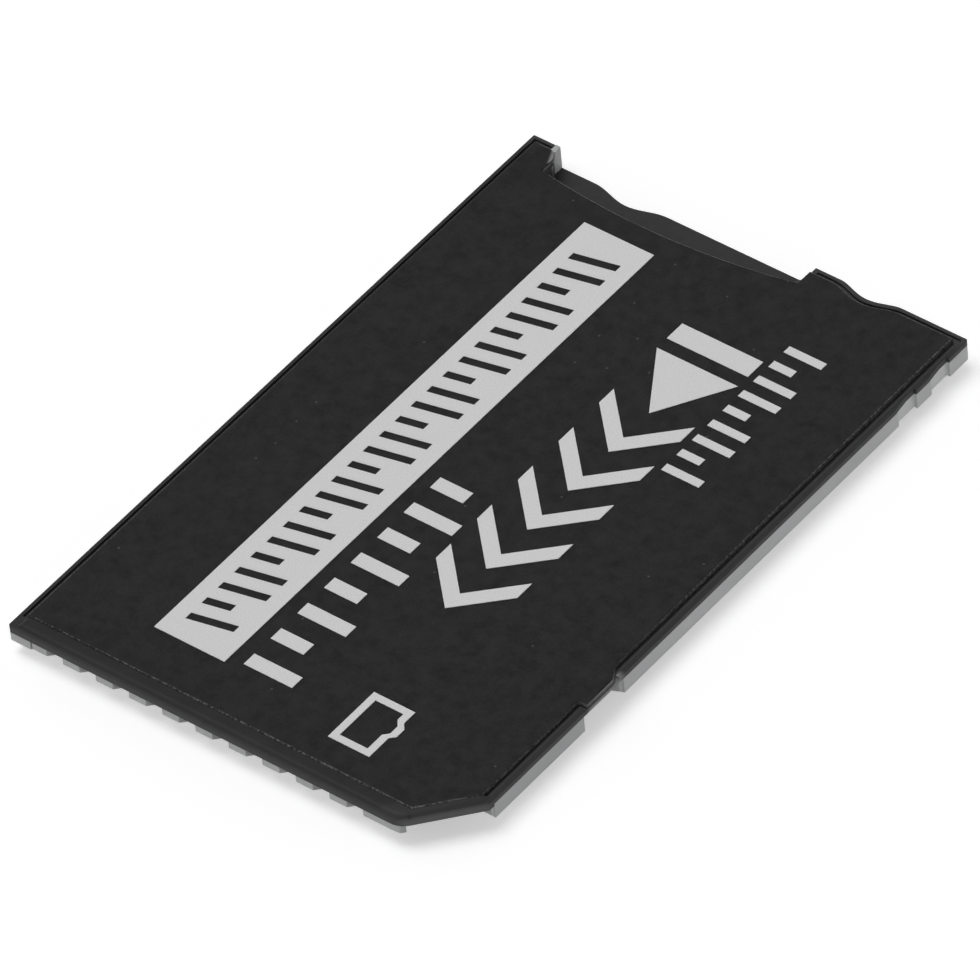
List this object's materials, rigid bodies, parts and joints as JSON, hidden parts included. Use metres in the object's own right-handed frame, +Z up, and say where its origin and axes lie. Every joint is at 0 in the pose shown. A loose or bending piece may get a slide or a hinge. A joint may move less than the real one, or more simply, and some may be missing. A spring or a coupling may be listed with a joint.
{
  "type": "memory card adapter",
  "caption": "Thin carrier card with a slot in its rear edge for a smaller memory card, contact slots under its nose, side rails, a cut corner and a lock notch.",
  "frame": {"origin": "middle of the card's 20 x 31 mm outline, on the underside of the keel", "axes": "+Y along the card from the contact edge to the card slot, +X towards the side with the lock notch, +Z up through the printed cover"},
  "size_m": [0.02, 0.031, 0.0016],
  "materials": {
    "frame": "fine matte moulded grey",
    "shell": "fine matte moulded black",
    "cover": "satin black paint on thin sheet",
    "print": "pale screen printed ink with a fine grain",
    "board": "green solder mask",
    "contact_gold": "gold plated copper",
    "spring_gold": "gold plated spring strip",
    "holder": "cream heat resistant plastic",
    "chip": "black moulded package",
    "ceramic": "tan ceramic with tinned ends"
  },
  "bodies": {
    "root": {"lower_frame": "frame", "upper_frame": "shell", "base_plate": "shell", "top_cover": "cover", "print_panel": "print", "print_marks": "print", "print_pictogram": "print", "pcb": "board", "contact_pad_1": "contact_gold", "contact_pad_2": "contact_gold", "contact_pad_3": "contact_gold", "contact_pad_4": "contact_gold", "contact_pad_5": "contact_gold", "contact_pad_6": "contact_gold", "contact_pad_7": "contact_gold", "contact_pad_8": "contact_gold", "contact_pad_9": "contact_gold", "contact_pad_10": "contact_gold", "spring_contact_1": "spring_gold", "spring_contact_2": "spring_gold", "spring_contact_3": "spring_gold", "spring_contact_4": "spring_gold", "spring_contact_5": "spring_gold", "spring_contact_6": "spring_gold", "spring_contact_7": "spring_gold", "spring_contact_8": "spring_gold", "spring_holder": "holder", "controller_chip": "chip", "capacitor_1": "ceramic", "capacitor_2": "ceramic", "capacitor_3": "ceramic", "resistor_1": "chip", "resistor_2": "chip"}
  },
  "joints": []
}
